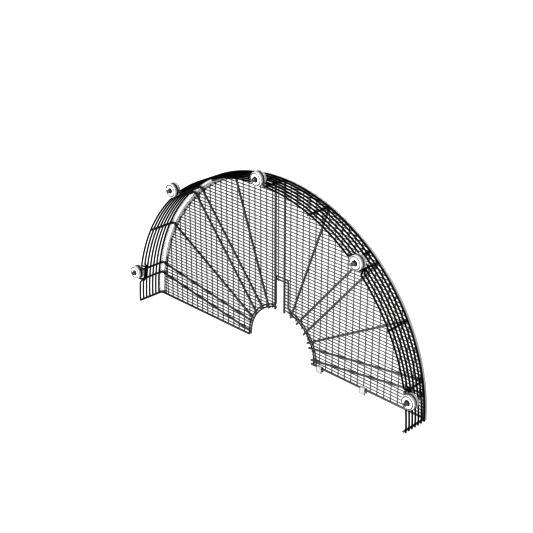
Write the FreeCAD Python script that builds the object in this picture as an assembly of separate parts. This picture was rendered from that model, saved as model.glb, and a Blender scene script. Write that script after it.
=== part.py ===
import FreeCAD, Part
import math
import os

from FreeCAD import Vector

os.makedirs("parts", exist_ok=True)

# Half-round wire guard for a large cooling fan, in millimetres.
# X runs along the flat face, Y from the mounting plane towards the face, Z up.
# The origin is where the fan's axis crosses the mounting plane, the front ends of the five sleeves.

# Wire and sheet stock
spoke_d = 5.0
hoop_d = 3.4
mesh_d = 2.0
hub_d = 3.4
band_t = 1.5
clip_t = 1.5

# Grommets and the sleeves through them
grommet_od = 35.6
grommet_width = 20.0
grommet_edge = 2.4
groove_clear = 0.2
recess_depth = 2.5
recess_clear = 1.3
sleeve_od = 10.0
sleeve_bore = 6.6
sleeve_front = 8.8
sleeve_rear = 1.2
sleeve_chamfer = 0.5

# Wall of hoops, from the front hoop to the face
hoop_r = 456.5
hoop_count = 7
hoop_pitch = 10.75
last_hoop_gap = 10.7
grommet_out = 13.5

# Step of the two front hoops behind each grommet
step_flat = 16.5
step_nest = 2.2
step_bend = 4.0
step_slope = (65.0, 50.0)

# Spokes
spoke_bend = 7.5
loop_proud = 0.1
single_angles = (30.0, 70.0, 110.0, 150.0)
single_stand = 0.1
low_pair_slope = 8.7
low_pair_z = 28.6

# Bottom edge wires
bottom_z = 2.8
bottom_stand = 2.6

# Mesh
upright_pitch = 20.0
upright_offset = -8.8
cross_pitch = 8.55
cross_first_z = 7.8
mesh_last = 6.0

# Edge band
band_lip = 16.5
band_bend = 9.0
mesh_lap = 4.0
band_gap = 0.1

# Hub opening and the slot above it
hub_inner_r = 109.3
hub_ring_pitch = 6.7
hub_mesh_lap = 0.8
hub_spoke_lap = 1.8
slot_half = 20.5
slot_top_z = 193.1
slot_bar_drop = 8.0
hub_corner = 6.0
slot_corner = 6.0

# Clips on the right bottom wire
clip_width = 16.5
clip_left_x = (128.0, 265.0)
clip_front_drop = 10.4
clip_back_drop = 8.6
clip_gap = 0.1

# Depths that follow: grommets and front hoop, then the layers of the face
loop_y = sleeve_front + grommet_width / 2
grommet_rear = loop_y + grommet_width / 2
sleeve_length = grommet_rear + sleeve_rear
hoop_y = [loop_y + hoop_pitch * i for i in range(hoop_count)]
face_y = hoop_y[-1] + last_hoop_gap
spoke_y = face_y - mesh_d / 2 - spoke_d / 2
cross_y = face_y + mesh_d
back_y = cross_y + mesh_d / 2
hub_y = back_y + hub_d / 2
single_end_y = loop_y - hoop_d / 2 - single_stand
bottom_end_y = loop_y - hoop_d / 2 - bottom_stand

# Radii and heights that follow
grommet_r = hoop_r + grommet_out
pair_half = grommet_od / 2 + loop_proud - spoke_d / 2
leg_r = hoop_r - hoop_d / 2 - spoke_d / 2
band_lip_r = hoop_r - band_lip
mesh_outer_r = band_lip_r + mesh_lap
mesh_inner_r = hub_inner_r - hub_mesh_lap
spoke_inner_r = hub_inner_r - hub_spoke_lap
hub_outer_r = hub_inner_r + hub_ring_pitch
slot_bar_z = slot_top_z - slot_bar_drop
cut_z = bottom_z - spoke_d / 2

# The stepped hoops share the room between the grommets and hoop 3, a sixth of the play per gap
step_play = hoop_y[2] - 2.5 * hoop_d - grommet_rear
step_clear = hoop_d + step_play / 6


def save(name, shape):
    shape.exportStep("parts/" + name + ".step")


def disc(centre, along, radius):
    edge = Part.makeCircle(radius, centre, along)
    return Part.Wire([edge])


def sweep(edges, start, along, radius):
    path = Part.Wire(edges)
    return path.makePipeShell([disc(start, along, radius)], True, False)


def corner(before, point, after, radius):
    # Tangent points and middle of the arc that rounds one corner of a wire
    back = (before - point).normalize()
    ahead = (after - point).normalize()
    half = back.getAngle(ahead) / 2
    reach = radius / math.tan(half)
    middle = (back + ahead).normalize()
    first = point + back * reach
    last = point + ahead * reach
    top = point + middle * (radius / math.sin(half) - radius)
    return first, top, last


def bent_edges(points, radius):
    # Straight lengths joined by arcs of one bend radius
    edges = []
    here = points[0]
    for i in range(1, len(points) - 1):
        first, top, last = corner(points[i - 1], points[i], points[i + 1], radius)
        edges.append(Part.makeLine(here, first))
        edges.append(Part.Arc(first, top, last).toShape())
        here = last
    edges.append(Part.makeLine(here, points[-1]))
    return edges


def bent_wire(points, bend, diameter):
    edges = bent_edges(points, bend)
    along = points[1] - points[0]
    return sweep(edges, points[0], along, diameter / 2)


def wire_arc(radius, y, diameter, start_deg, end_deg):
    # A round wire bent to a circle about the fan's axis
    a = math.radians(start_deg)
    start = Vector(radius * math.cos(a), y, radius * math.sin(a))
    along = Vector(-math.sin(a), 0, math.cos(a))
    face = Part.Face(disc(start, along, diameter / 2))
    return face.revolve(Vector(0, 0, 0), Vector(0, -1, 0), end_deg - start_deg)


def rod(start, end, diameter):
    along = end - start
    return Part.makeCylinder(diameter / 2, along.Length, start, along)


class Line:
    # A spoke's line in the face: direction and sideways distance from the fan's axis

    def __init__(self, angle_deg, offset):
        a = math.radians(angle_deg)
        self.d = (math.cos(a), math.sin(a))
        self.n = (-math.sin(a), math.cos(a))
        self.offset = offset

    def reach(self, radius, side=0.0):
        k = self.offset + side
        return math.sqrt(radius * radius - k * k)

    def at(self, along, y, side=0.0):
        k = self.offset + side
        x = self.d[0] * along + self.n[0] * k
        z = self.d[1] * along + self.n[1] * k
        return Vector(x, y, z)


# The five pairs: three are radial, the two lowest tilt to clear the bottom wires
low_offset = low_pair_z * math.cos(math.radians(low_pair_slope))
low_offset -= spoke_inner_r * math.sin(math.radians(low_pair_slope))
pairs = {
    "10": Line(low_pair_slope, low_offset),
    "50": Line(50.0, 0.0),
    "90": Line(90.0, 0.0),
    "130": Line(130.0, 0.0),
    "170": Line(180.0 - low_pair_slope, -low_offset),
}


def pair_angle(line, radius):
    p = line.at(line.reach(radius), 0.0)
    return math.atan2(p.z, p.x)


# Hoops 3 to 7 are plain half rings
for i in range(2, hoop_count):
    save("hoop_%d" % (i + 1), wire_arc(hoop_r, hoop_y[i], hoop_d, 0.0, 180.0))


def on_wall(angle, y):
    return Vector(hoop_r * math.cos(angle), y, hoop_r * math.sin(angle))


def tangent(angle):
    return Vector(-math.sin(angle), 0, math.cos(angle))


def ramp_run(rise, slope_deg):
    # Run of one step along the wall: an arc, a straight and an arc back to level
    a = math.radians(slope_deg)
    rise_line = rise - 2 * step_bend * (1 - math.cos(a))
    return 2 * step_bend * math.sin(a) + rise_line / math.tan(a)


def ramp_edges(a, b, y_from, y_to):
    # The two bends share one turning angle, found by repeating the tangent length
    start = on_wall(a, y_from)
    end = on_wall(b, y_to)
    reach = step_bend
    for _ in range(40):
        first = start + tangent(a) * reach
        second = end - tangent(b) * reach
        turn = tangent(a).getAngle(second - first)
        reach = step_bend * math.tan(turn / 2)
    first = start + tangent(a) * reach
    second = end - tangent(b) * reach
    _, top_1, out_1 = corner(start, first, second, step_bend)
    in_2, top_2, _ = corner(first, second, end, step_bend)
    return [
        Part.Arc(start, top_1, out_1).toShape(),
        Part.makeLine(out_1, in_2),
        Part.Arc(in_2, top_2, end).toShape(),
    ]


def wall_arc(a, b, y):
    return Part.Arc(on_wall(a, y), on_wall((a + b) / 2, y), on_wall(b, y)).toShape()


def stepped_hoop(y_rest, y_back, slope_deg, flat):
    run = ramp_run(y_back - y_rest, slope_deg)
    edges = []
    here = 0.0
    for key in ("10", "50", "90", "130", "170"):
        middle = pair_angle(pairs[key], hoop_r)
        up = middle - (flat + run) / hoop_r
        top_a = middle - flat / hoop_r
        top_b = middle + flat / hoop_r
        down = top_b + run / hoop_r
        edges.append(wall_arc(here, up, y_rest))
        edges += ramp_edges(up, top_a, y_rest, y_back)
        edges.append(wall_arc(top_a, top_b, y_back))
        edges += ramp_edges(top_b, down, y_back, y_rest)
        here = down
    edges.append(wall_arc(here, math.pi, y_rest))
    return sweep(edges, on_wall(0.0, y_rest), tangent(0.0), hoop_d / 2)


# The two front hoops step back against hoop 3 behind every grommet
back_2 = hoop_y[2] - step_clear
back_1 = back_2 - step_clear
save("hoop_1", stepped_hoop(hoop_y[0], back_1, step_slope[0], step_flat))
save("hoop_2", stepped_hoop(hoop_y[1], back_2, step_slope[1], step_flat + step_nest))

# Single spokes: along the face, round the rim and forward inside the hoops
for angle in single_angles:
    line = Line(angle, 0.0)
    rim = line.reach(leg_r)
    points = [
        line.at(line.reach(spoke_inner_r), spoke_y),
        line.at(rim, spoke_y),
        line.at(rim, single_end_y),
    ]
    save("spoke_%d" % angle, bent_wire(points, spoke_bend, spoke_d))


def hairpin(line):
    # One wire: hub, face, wall, round the grommet's groove and back the same way
    sides = []
    centre = line.reach(grommet_r)
    for side in (pair_half, -pair_half):
        rim = line.reach(leg_r, side)
        points = [
            line.at(line.reach(spoke_inner_r, side), spoke_y, side),
            line.at(rim, spoke_y, side),
            line.at(rim, loop_y, side),
            line.at(centre, loop_y, side),
        ]
        sides.append(points)
    edges = bent_edges(sides[0], spoke_bend)
    top = line.at(centre + pair_half, loop_y)
    edges.append(Part.Arc(sides[0][-1], top, sides[1][-1]).toShape())
    edges += bent_edges(sides[1][::-1], spoke_bend)
    along = sides[0][1] - sides[0][0]
    return sweep(edges, sides[0][0], along, spoke_d / 2)


def revolved(points, centre):
    # Profile points are (radius, y), turned about the sleeve's axis
    corners = [Vector(centre.x + r, y, centre.z) for r, y in points]
    corners.append(corners[0])
    face = Part.Face(Part.makePolygon(corners))
    return face.revolve(Vector(centre.x, 0, centre.z), Vector(0, 1, 0), 360)


def grommet(centre):
    r = grommet_od / 2
    front = loop_y - grommet_width / 2
    groove = pair_half - spoke_d / 2
    groove_half = (spoke_d + groove_clear) / 2
    bore = sleeve_od / 2
    recess = bore + recess_clear
    body = revolved(
        [
            (bore, front + recess_depth),
            (recess, front + recess_depth),
            (recess, front),
            (r, front),
            (r, loop_y - groove_half),
            (groove, loop_y - groove_half),
            (groove, loop_y + groove_half),
            (r, loop_y + groove_half),
            (r, grommet_rear),
            (bore, grommet_rear),
        ],
        centre,
    )
    rims = []
    for edge in body.Edges:
        if not isinstance(edge.Curve, Part.Circle):
            continue
        level = edge.Curve.Center.y
        outer = abs(edge.Curve.Radius - r) < 1e-6
        if outer and (abs(level - front) < 1e-6 or abs(level - grommet_rear) < 1e-6):
            rims.append(edge)
    return body.makeFillet(grommet_edge, rims)


def sleeve(centre):
    outer = sleeve_od / 2
    inner = sleeve_bore / 2
    c = sleeve_chamfer
    return revolved(
        [
            (inner, 0.0),
            (outer - c, 0.0),
            (outer, c),
            (outer, sleeve_length - c),
            (outer - c, sleeve_length),
            (inner, sleeve_length),
        ],
        centre,
    )


for key, line in pairs.items():
    centre = line.at(line.reach(grommet_r), 0.0)
    save("hairpin_" + key, hairpin(line))
    save("grommet_" + key, grommet(centre))
    save("sleeve_" + key, sleeve(centre))

def half_chord(radius, z):
    return math.sqrt(max(radius * radius - z * z, 0.0))


# Bottom edge wires, left and right
for name, side in (("right", 1), ("left", -1)):
    points = [
        Vector(side * half_chord(spoke_inner_r, bottom_z), spoke_y, bottom_z),
        Vector(side * leg_r, spoke_y, bottom_z),
        Vector(side * leg_r, bottom_end_y, bottom_z),
    ]
    save("bottom_wire_" + name, bent_wire(points, spoke_bend, spoke_d))


# Upright mesh wires
clip_top = bottom_z + spoke_d / 2 + clip_gap + clip_t
uprights = []
n = int(mesh_outer_r // upright_pitch) + 1
for i in range(-n, n + 1):
    x = upright_offset + upright_pitch * i
    if abs(x) > mesh_outer_r - mesh_last:
        continue
    low = cut_z
    if abs(x) < mesh_inner_r:
        low = max(low, half_chord(mesh_inner_r, x))
    if -slot_half < x < 0.0:
        low = slot_bar_z - hub_d / 2
    for left in clip_left_x:
        if left - mesh_d / 2 < x < left + clip_width + mesh_d / 2:
            low = clip_top + clip_gap
    top = half_chord(mesh_outer_r, x)
    uprights.append(rod(Vector(x, face_y, low), Vector(x, face_y, top), mesh_d))
save("mesh_uprights", Part.makeCompound(uprights))

# Cross mesh wires, welded on the backs of the uprights
slot_left = -(slot_half - hub_d / 2)
slot_right = upright_offset + upright_pitch - mesh_d / 2
crosses = []
z = cross_first_z
while z < mesh_outer_r - mesh_last:
    outer = half_chord(mesh_outer_r, z)
    left = -half_chord(mesh_inner_r, z)
    right = half_chord(mesh_inner_r, z)
    if z < slot_bar_z - hub_d / 2:
        left = min(left, slot_left)
        right = max(right, slot_right)
        spans = [(-outer, left), (right, outer)]
    else:
        spans = [(-outer, outer)]
    for a, b in spans:
        crosses.append(rod(Vector(a, cross_y, z), Vector(b, cross_y, z), mesh_d))
    z += cross_pitch
save("mesh_cross_wires", Part.makeCompound(crosses))


def polar(radius, angle, y):
    return Vector(radius * math.cos(angle), y, radius * math.sin(angle))


def hub_frame():
    # Outer hub wire: up one side of the opening, round the slot and down the other side
    far = hub_outer_r + hub_corner
    cx = slot_half + hub_corner
    cz = math.sqrt(far * far - cx * cx)
    lean = math.atan2(cz, cx)
    low = math.asin(cut_z / hub_outer_r)
    arc_mid = (low + lean) / 2
    to_ring = lean + math.pi
    turn_mid = (to_ring + math.pi) / 2
    turn = Vector(cx + hub_corner * math.cos(turn_mid), hub_y, cz + hub_corner * math.sin(turn_mid))
    corner_mid = slot_corner * (1 - math.sqrt(0.5))
    top_a = Vector(slot_half, hub_y, slot_top_z - slot_corner)
    top_m = Vector(slot_half - corner_mid, hub_y, slot_top_z - corner_mid)
    top_b = Vector(slot_half - slot_corner, hub_y, slot_top_z)

    def mirrored(v):
        return Vector(-v.x, v.y, v.z)

    start = polar(hub_outer_r, low, hub_y)
    ring_end = polar(hub_outer_r, lean, hub_y)
    leg_start = Vector(slot_half, hub_y, cz)
    right = [
        Part.Arc(start, polar(hub_outer_r, arc_mid, hub_y), ring_end).toShape(),
        Part.Arc(ring_end, turn, leg_start).toShape(),
        Part.makeLine(leg_start, top_a),
        Part.Arc(top_a, top_m, top_b).toShape(),
    ]
    across = Part.makeLine(top_b, mirrored(top_b))
    left = [
        Part.Arc(mirrored(top_b), mirrored(top_m), mirrored(top_a)).toShape(),
        Part.makeLine(mirrored(top_a), mirrored(leg_start)),
        Part.Arc(mirrored(leg_start), mirrored(turn), mirrored(ring_end)).toShape(),
        Part.Arc(
            mirrored(ring_end), mirrored(polar(hub_outer_r, arc_mid, hub_y)), mirrored(start)
        ).toShape(),
    ]
    along = Vector(-math.sin(low), 0, math.cos(low))
    return sweep(right + [across] + left, start, along, hub_d / 2)


save("hub_frame_wire", hub_frame())

# Inner hub wires stop at the slot
hub_low = math.degrees(math.asin(cut_z / hub_inner_r))
slot_angle = math.degrees(math.acos((slot_half - hub_d / 2) / hub_inner_r))
save("hub_wire_right", wire_arc(hub_inner_r, hub_y, hub_d, hub_low, slot_angle))
save("hub_wire_left", wire_arc(hub_inner_r, hub_y, hub_d, 180.0 - slot_angle, 180.0 - hub_low))

# Short bar across the top of the slot
bar_end = slot_half - hub_d / 2
bar = rod(Vector(-bar_end, hub_y, slot_bar_z), Vector(bar_end, hub_y, slot_bar_z), hub_d)
save("slot_bar", bar)


def edge_band():
    # Rolled angle: a lip behind the mesh, a bend and a side that reaches the last hoop
    inner = hoop_r - hoop_d / 2 + band_gap
    outer = inner + band_t
    front = hoop_y[-1] + hoop_d / 2
    rear = back_y + band_t
    small = band_bend - band_t
    cr = outer - band_bend
    cy = rear - band_bend
    s = math.sqrt(0.5)
    face = Part.Face(
        Part.Wire(
            [
                Part.makeLine(Vector(band_lip_r, rear, 0), Vector(cr, rear, 0)),
                Part.Arc(
                    Vector(cr, rear, 0),
                    Vector(cr + band_bend * s, cy + band_bend * s, 0),
                    Vector(outer, cy, 0),
                ).toShape(),
                Part.makeLine(Vector(outer, cy, 0), Vector(outer, front, 0)),
                Part.makeLine(Vector(outer, front, 0), Vector(inner, front, 0)),
                Part.makeLine(Vector(inner, front, 0), Vector(inner, cy, 0)),
                Part.Arc(
                    Vector(inner, cy, 0),
                    Vector(cr + small * s, cy + small * s, 0),
                    Vector(cr, back_y, 0),
                ).toShape(),
                Part.makeLine(Vector(cr, back_y, 0), Vector(band_lip_r, back_y, 0)),
                Part.makeLine(Vector(band_lip_r, back_y, 0), Vector(band_lip_r, rear, 0)),
            ]
        )
    )
    return face.revolve(Vector(0, 0, 0), Vector(0, -1, 0), 180.0)


save("edge_band", edge_band())


def clip(x):
    # Strip folded over the bottom wire, open below
    inner = spoke_d / 2 + clip_gap
    outer = inner + clip_t
    low_f = bottom_z - spoke_d / 2 - clip_front_drop
    low_b = bottom_z - spoke_d / 2 - clip_back_drop

    def at(y, z):
        return Vector(x, spoke_y + y, z)

    face = Part.Face(
        Part.Wire(
            [
                Part.makeLine(at(-outer, low_f), at(-outer, bottom_z)),
                Part.Arc(at(-outer, bottom_z), at(0, bottom_z + outer), at(outer, bottom_z)).toShape(),
                Part.makeLine(at(outer, bottom_z), at(outer, low_b)),
                Part.makeLine(at(outer, low_b), at(inner, low_b)),
                Part.makeLine(at(inner, low_b), at(inner, bottom_z)),
                Part.Arc(at(inner, bottom_z), at(0, bottom_z + inner), at(-inner, bottom_z)).toShape(),
                Part.makeLine(at(-inner, bottom_z), at(-inner, low_f)),
                Part.makeLine(at(-inner, low_f), at(-outer, low_f)),
            ]
        )
    )
    return face.extrude(Vector(clip_width, 0, 0))


for i, left in enumerate(clip_left_x):
    save("clip_%d" % (i + 1), clip(left))
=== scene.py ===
# %% [markdown]
# # Half-round wire fan guard
# The real object is half of the ring that keeps hands out of a large cooling fan. Round steel wires are
# welded into a flat face and a shallow wall, a rolled angle closes the rim, and five white rubber grommets
# carry it on spacer sleeves. Each piece is built here as a surface worked out with numpy, in metres, in
# the packed model's frame, with a finish made only from shader nodes.

# %% Load the frame
import math

import bpy
import numpy as np
from mathutils import Matrix, Vector


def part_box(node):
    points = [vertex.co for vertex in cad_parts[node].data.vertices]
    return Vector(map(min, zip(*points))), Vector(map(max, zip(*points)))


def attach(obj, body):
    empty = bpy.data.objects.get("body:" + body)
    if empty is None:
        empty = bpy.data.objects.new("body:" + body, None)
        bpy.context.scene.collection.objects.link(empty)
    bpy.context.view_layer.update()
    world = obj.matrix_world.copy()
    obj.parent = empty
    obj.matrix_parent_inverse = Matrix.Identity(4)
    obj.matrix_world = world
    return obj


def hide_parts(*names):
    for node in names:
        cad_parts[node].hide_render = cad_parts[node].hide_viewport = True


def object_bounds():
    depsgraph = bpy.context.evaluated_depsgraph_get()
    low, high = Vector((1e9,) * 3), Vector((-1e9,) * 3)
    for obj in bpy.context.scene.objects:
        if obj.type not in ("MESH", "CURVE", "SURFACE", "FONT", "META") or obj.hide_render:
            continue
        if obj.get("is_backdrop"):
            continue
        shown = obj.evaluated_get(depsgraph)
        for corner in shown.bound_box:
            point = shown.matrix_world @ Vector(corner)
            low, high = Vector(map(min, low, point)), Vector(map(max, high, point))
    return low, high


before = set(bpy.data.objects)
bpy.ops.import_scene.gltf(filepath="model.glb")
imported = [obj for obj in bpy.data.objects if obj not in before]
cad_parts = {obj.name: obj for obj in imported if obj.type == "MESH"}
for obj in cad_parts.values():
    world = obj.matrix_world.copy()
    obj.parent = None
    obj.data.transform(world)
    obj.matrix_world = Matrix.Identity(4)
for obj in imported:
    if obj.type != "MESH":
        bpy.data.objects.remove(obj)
cad_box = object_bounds()
mm = 0.001
print("CAD box from", [round(v, 4) for v in cad_box[0]], "to", [round(v, 4) for v in cad_box[1]])

# %% [markdown]
# ## The camera first
# The picture was taken from the front right and from above, at a known azimuth, elevation and distance
# from a point of the guard's face. Focal length in pixels times the sensor's width, over the picture's
# width in pixels, is the lens in millimetres. Half a pixel is added, because the fit counts from the
# middle of the first pixel and not from its corner.

# %% Camera
picture_side = 533.0
focal_pixels = 1118.9
sensor_width = 36.0
azimuth = math.radians(45.134)
elevation = math.radians(24.890)
distance = 2.7242
look_at = Vector((-0.04764, 0.0940, 0.2084))

back = Vector((
    math.sin(azimuth) * math.cos(elevation),
    -math.cos(azimuth) * math.cos(elevation),
    math.sin(elevation),
))
right = Vector((math.cos(azimuth), math.sin(azimuth), 0.0))
up = back.cross(right)
half_pixel = 0.5 * distance / focal_pixels

camera_data = bpy.data.cameras.new("guard_camera")
camera_data.sensor_width = sensor_width
camera_data.lens = focal_pixels * sensor_width / picture_side
camera_data.clip_start = 0.05
camera_data.clip_end = 60.0
camera = bpy.data.objects.new("guard_camera", camera_data)
bpy.context.scene.collection.objects.link(camera)
turn = Matrix((right, up, back)).transposed()
place = look_at + back * distance + (up - right) * half_pixel
camera.matrix_world = Matrix.Translation(place) @ turn.to_4x4()
bpy.context.scene.camera = camera
print("lens", round(camera_data.lens, 2), "mm, camera at", [round(v, 3) for v in place])

# %% [markdown]
# ## Sizes read from the frame
# Every wire keeps its place in the packed model. Depths and radii are read from the nodes' boxes, so a
# new pack moves these pieces as well. Only wire sizes and the pattern of the mesh are named again, because
# a box doesn't hold them. The packed boxes are measured on many-sided rounds, so a hair comes off some
# rounds made here, to stay inside them.

# %% Sizes
spoke_r = 2.5 * mm
hoop_wire_r = 1.7 * mm
hub_wire_r = 1.7 * mm
mesh_r = 1.0 * mm
spoke_bend = 7.5 * mm
hoop_count = 7
hair = 0.06 * mm
single_angles = (30.0, 70.0, 110.0, 150.0)
pair_angles = {"10": 8.7, "50": 50.0, "90": 90.0, "130": 130.0, "170": 171.3}


def middle(node, axis):
    """Half way between a node's lowest and highest corner along one axis."""
    low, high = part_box(node)
    return (low[axis] + high[axis]) / 2


ring_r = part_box("hoop_7")[1].x - hoop_wire_r
leg_r = ring_r - hoop_wire_r - spoke_r
spoke_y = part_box("spoke_30")[1].y - spoke_r
single_end_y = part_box("spoke_30")[0].y
loop_y = middle("grommet_90", 1)
spoke_inner_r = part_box("bottom_wire_right")[0].x
hub_y = middle("hub_frame_wire", 1)
print("ring radius", round(ring_r / mm, 2), "mm, spokes at depth", round(spoke_y / mm, 2), "mm")

# %% [markdown]
# ## Surfaces as arrays
# Nearly everything here is one of three surfaces: a tube round a path, an outline turned about an axis,
# or an outline pushed along a line. Each is a grid of two parameters, worked out as whole arrays, and
# one helper puts any grid of points into a mesh.


# %% From arrays to a mesh
def outward(points, faces):
    """Faces with their order turned round if the signed volume, the sum of a . (b x c) / 6, is negative."""
    total = 0.0
    for block in faces:
        a = points[block[:, 0]]
        for k in range(1, block.shape[1] - 1):
            total += np.einsum("ij,ij->", a, np.cross(points[block[:, k]], points[block[:, k + 1]]))
    return [block[:, ::-1] for block in faces] if total < 0 else faces


def add_mesh(name, points, faces, attributes=None):
    """A new object at the origin from points (n, 3) and blocks of faces with equal corner counts."""
    faces = outward(points, faces)
    corners = [tuple(face) for block in faces for face in block.tolist()]
    mesh = bpy.data.meshes.new(name)
    mesh.from_pydata(points.tolist(), [], corners)
    mesh.polygons.foreach_set("use_smooth", np.ones(len(corners), bool))
    for key, values in (attributes or {}).items():
        layer = mesh.attributes.new(key, "FLOAT", "POINT")
        layer.data.foreach_set("value", np.asarray(values, np.float32).ravel())
    mesh.validate()
    mesh.update()
    piece = bpy.data.objects.new(name, mesh)
    bpy.context.scene.collection.objects.link(piece)
    return piece


def unit(v):
    """Vectors along the last axis, each divided by its own length."""
    v = np.asarray(v, float)
    return v / np.linalg.norm(v, axis=-1, keepdims=True)


print("a diagonal as a unit vector:", unit((1.0, 1.0, 0.0)).round(3))

# %% [markdown]
# ## Paths with rounded corners
# A wire bender turns straight wire round a peg, so a bent wire is a chain of straight runs and arcs of one
# radius. Drawing only the corners and rounding them afterwards keeps every bend true, and closed outlines
# of sheet and rubber are rounded by the same arc.


# %% Paths
def between(a, b, step):
    """Points strictly between a and b, evenly spaced by no more than step."""
    count = max(int(math.ceil(np.linalg.norm(b - a) / step)), 1)
    t = np.linspace(0.0, 1.0, count + 1)[1:-1, None]
    return a + (b - a) * t


def round_corner(before, point, after, radius, count):
    """The arc in one corner: it touches both runs at radius / tan(half angle) from the point."""
    to_before = unit(before - point)
    to_after = unit(after - point)
    half = math.acos(float(to_before @ to_after)) / 2
    centre = point + unit(to_before + to_after) * radius / math.sin(half)
    first = point + to_before * radius / math.tan(half)
    t = np.linspace(0.0, math.pi - 2 * half, count)[:, None]
    return centre + radius * (np.cos(t) * unit(first - centre) - np.sin(t) * to_before)


def bent_path(corners, bend, step=1.0, count=9):
    """A wire's centre line: straight runs with each inner corner replaced by an arc of one bend radius."""
    corners = np.asarray(corners, float)
    parts = [corners[:1]]
    for before, point, after in zip(corners[:-2], corners[1:-1], corners[2:]):
        arc = round_corner(before, point, after, bend, count)
        parts += [between(parts[-1][-1], arc[0], step), arc]
    parts += [between(parts[-1][-1], corners[-1], step), corners[-1:]]
    return np.concatenate(parts)


def rounded_loop(corners, radii, count=6):
    """A closed outline: every corner replaced by an arc of its own radius."""
    corners = np.asarray(corners, float)
    before = np.roll(corners, 1, axis=0)
    after = np.roll(corners, -1, axis=0)
    return np.concatenate([
        round_corner(b, p, a, r, count) for b, p, a, r in zip(before, corners, after, radii)
    ])


sample_path = bent_path([(0, 0, 0), (0.1, 0, 0), (0.1, 0.1, 0)], spoke_bend)
print("a path with one bend has", len(sample_path), "points")

# %% [markdown]
# ## Tubes
# A wire is a circle carried along its path. The circle needs a side direction that changes smoothly, or
# the tube would twist, so each kind of wire names a direction that suits its own path.


# %% Tubes
def grid_quads(rows, columns, close_rows=False):
    """Corner numbers of the four-sided faces between neighbouring rows, each row closed on itself."""
    i = np.arange(rows if close_rows else rows - 1)[:, None]
    j = np.arange(columns)[None, :]
    below = (i + 1) % rows
    beside = (j + 1) % columns
    corners = (i * columns + j, i * columns + beside, below * columns + beside, below * columns + j)
    return np.stack(corners, -1).reshape(-1, 4)


def capped_tubes(points, rows, sides):
    """Points (copy, rows * sides + 2, 3) of tubes as one list, with their faces. Each copy has its rings
    first and then the middles of its two ends, which triangles join to the first and the last ring."""
    offset = (np.arange(len(points)) * points.shape[1])[:, None, None]
    count = rows * sides
    j = np.arange(sides)
    beside = (j + 1) % sides
    head = np.stack([np.full(sides, count), beside, j], -1)
    tail = np.stack([np.full(sides, count + 1), count - sides + j, count - sides + beside], -1)
    quads = (grid_quads(rows, sides) + offset).reshape(-1, 4)
    caps = (np.concatenate([head, tail]) + offset).reshape(-1, 3)
    return points.reshape(-1, 3), [quads, caps]


def circles(n, b, sides):
    """Unit circles, cos a * N + sin a * B, one for each pair of directions."""
    a = np.linspace(0.0, 2 * math.pi, sides, endpoint=False)[None, :, None]
    return np.cos(a) * n[:, None] + np.sin(a) * b[:, None]


def tube(path, side, radius, sides=14, cut=0.35 * mm):
    """A round wire: at each station, centre + radius * (cos a * N + sin a * B), where N is the side
    direction made square to the path and B is the path's direction crossed with N. The two cut ends
    have a small chamfer and a flat face."""
    path = np.asarray(path, float)
    along = unit(np.gradient(path, axis=0, edge_order=2))
    side = np.broadcast_to(np.asarray(side, float), path.shape)
    second = path[:1] + along[:1] * cut
    last_but_one = path[-1:] - along[-1:] * cut
    path = np.concatenate([path[:1], second, path[1:-1], last_but_one, path[-1:]])
    along = np.concatenate([along[:1], along, along[-1:]])
    side = np.concatenate([side[:1], side, side[-1:]])
    r = np.full(len(path), radius)
    r[[0, -1]] = radius - cut
    n = unit(side - np.sum(side * along, -1, keepdims=True) * along)
    ring = circles(n, np.cross(along, n), sides)
    points = (path[:, None] + r[:, None, None] * ring).reshape(-1, 3)
    points = np.concatenate([points, path[:1], path[-1:]])
    return capped_tubes(points[None], len(path), sides)


print("the same path as a tube has", len(tube(sample_path, (0.0, 0.0, 1.0), spoke_r)[0]), "points")

# %% [markdown]
# ## Rods and beads by the hundred
# The face holds dozens of straight wires and thousands of small welds. One array holds all of them: the
# points of one shape, with an axis more for the number of the copy.


# %% Straight rods and weld beads, many at a time
def rods(starts, ends, side, radius, sides=10, cut=0.2 * mm):
    """Parallel straight wires in one array: start + distance * along + radius * (cos a * N + sin a * B),
    at four stations that give each end a small chamfer."""
    starts = np.asarray(starts, float)
    ends = np.asarray(ends, float)
    along = unit(ends - starts)
    n = np.broadcast_to(np.asarray(side, float), along.shape)
    stations = np.stack([starts, starts + along * cut, ends - along * cut, ends], 1)
    r = np.array([radius - cut, radius, radius, radius - cut])[None, :, None, None]
    points = stations[:, :, None] + r * circles(n, np.cross(along, n), sides)[:, None]
    points = points.reshape(len(starts), -1, 3)
    return capped_tubes(np.concatenate([points, starts[:, None], ends[:, None]], 1), 4, sides)


def beads(centres, radii, sides=8, rings=3):
    """Small ellipsoids: centre + (x sin t cos a, y cos t, z sin t sin a), closed by a point at each pole."""
    centres = np.asarray(centres, float).reshape(-1, 3)
    radii = np.broadcast_to(np.asarray(radii, float), centres.shape)
    t = np.linspace(0.0, math.pi, rings + 2)[1:-1, None]
    a = np.linspace(0.0, 2 * math.pi, sides, endpoint=False)[None, :]
    ball = np.stack([np.sin(t) * np.cos(a), np.cos(t) + 0 * a, np.sin(t) * np.sin(a)], -1).reshape(-1, 3)
    ball = np.concatenate([ball, [[0, 1, 0], [0, -1, 0]]])
    return capped_tubes(centres[:, None] + ball[None] * radii[:, None], rings, sides)


print("one bead has", len(beads((0.0, 0.0, 0.0), mesh_r)[0]), "points")

# %% [markdown]
# ## Outlines turned or pushed
# Grommets, sleeves and the rolled band are turned, and a folded clip is one outline along its width. Each
# outline is closed, so it needs two flat ends only where it doesn't go all the way round.


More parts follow.
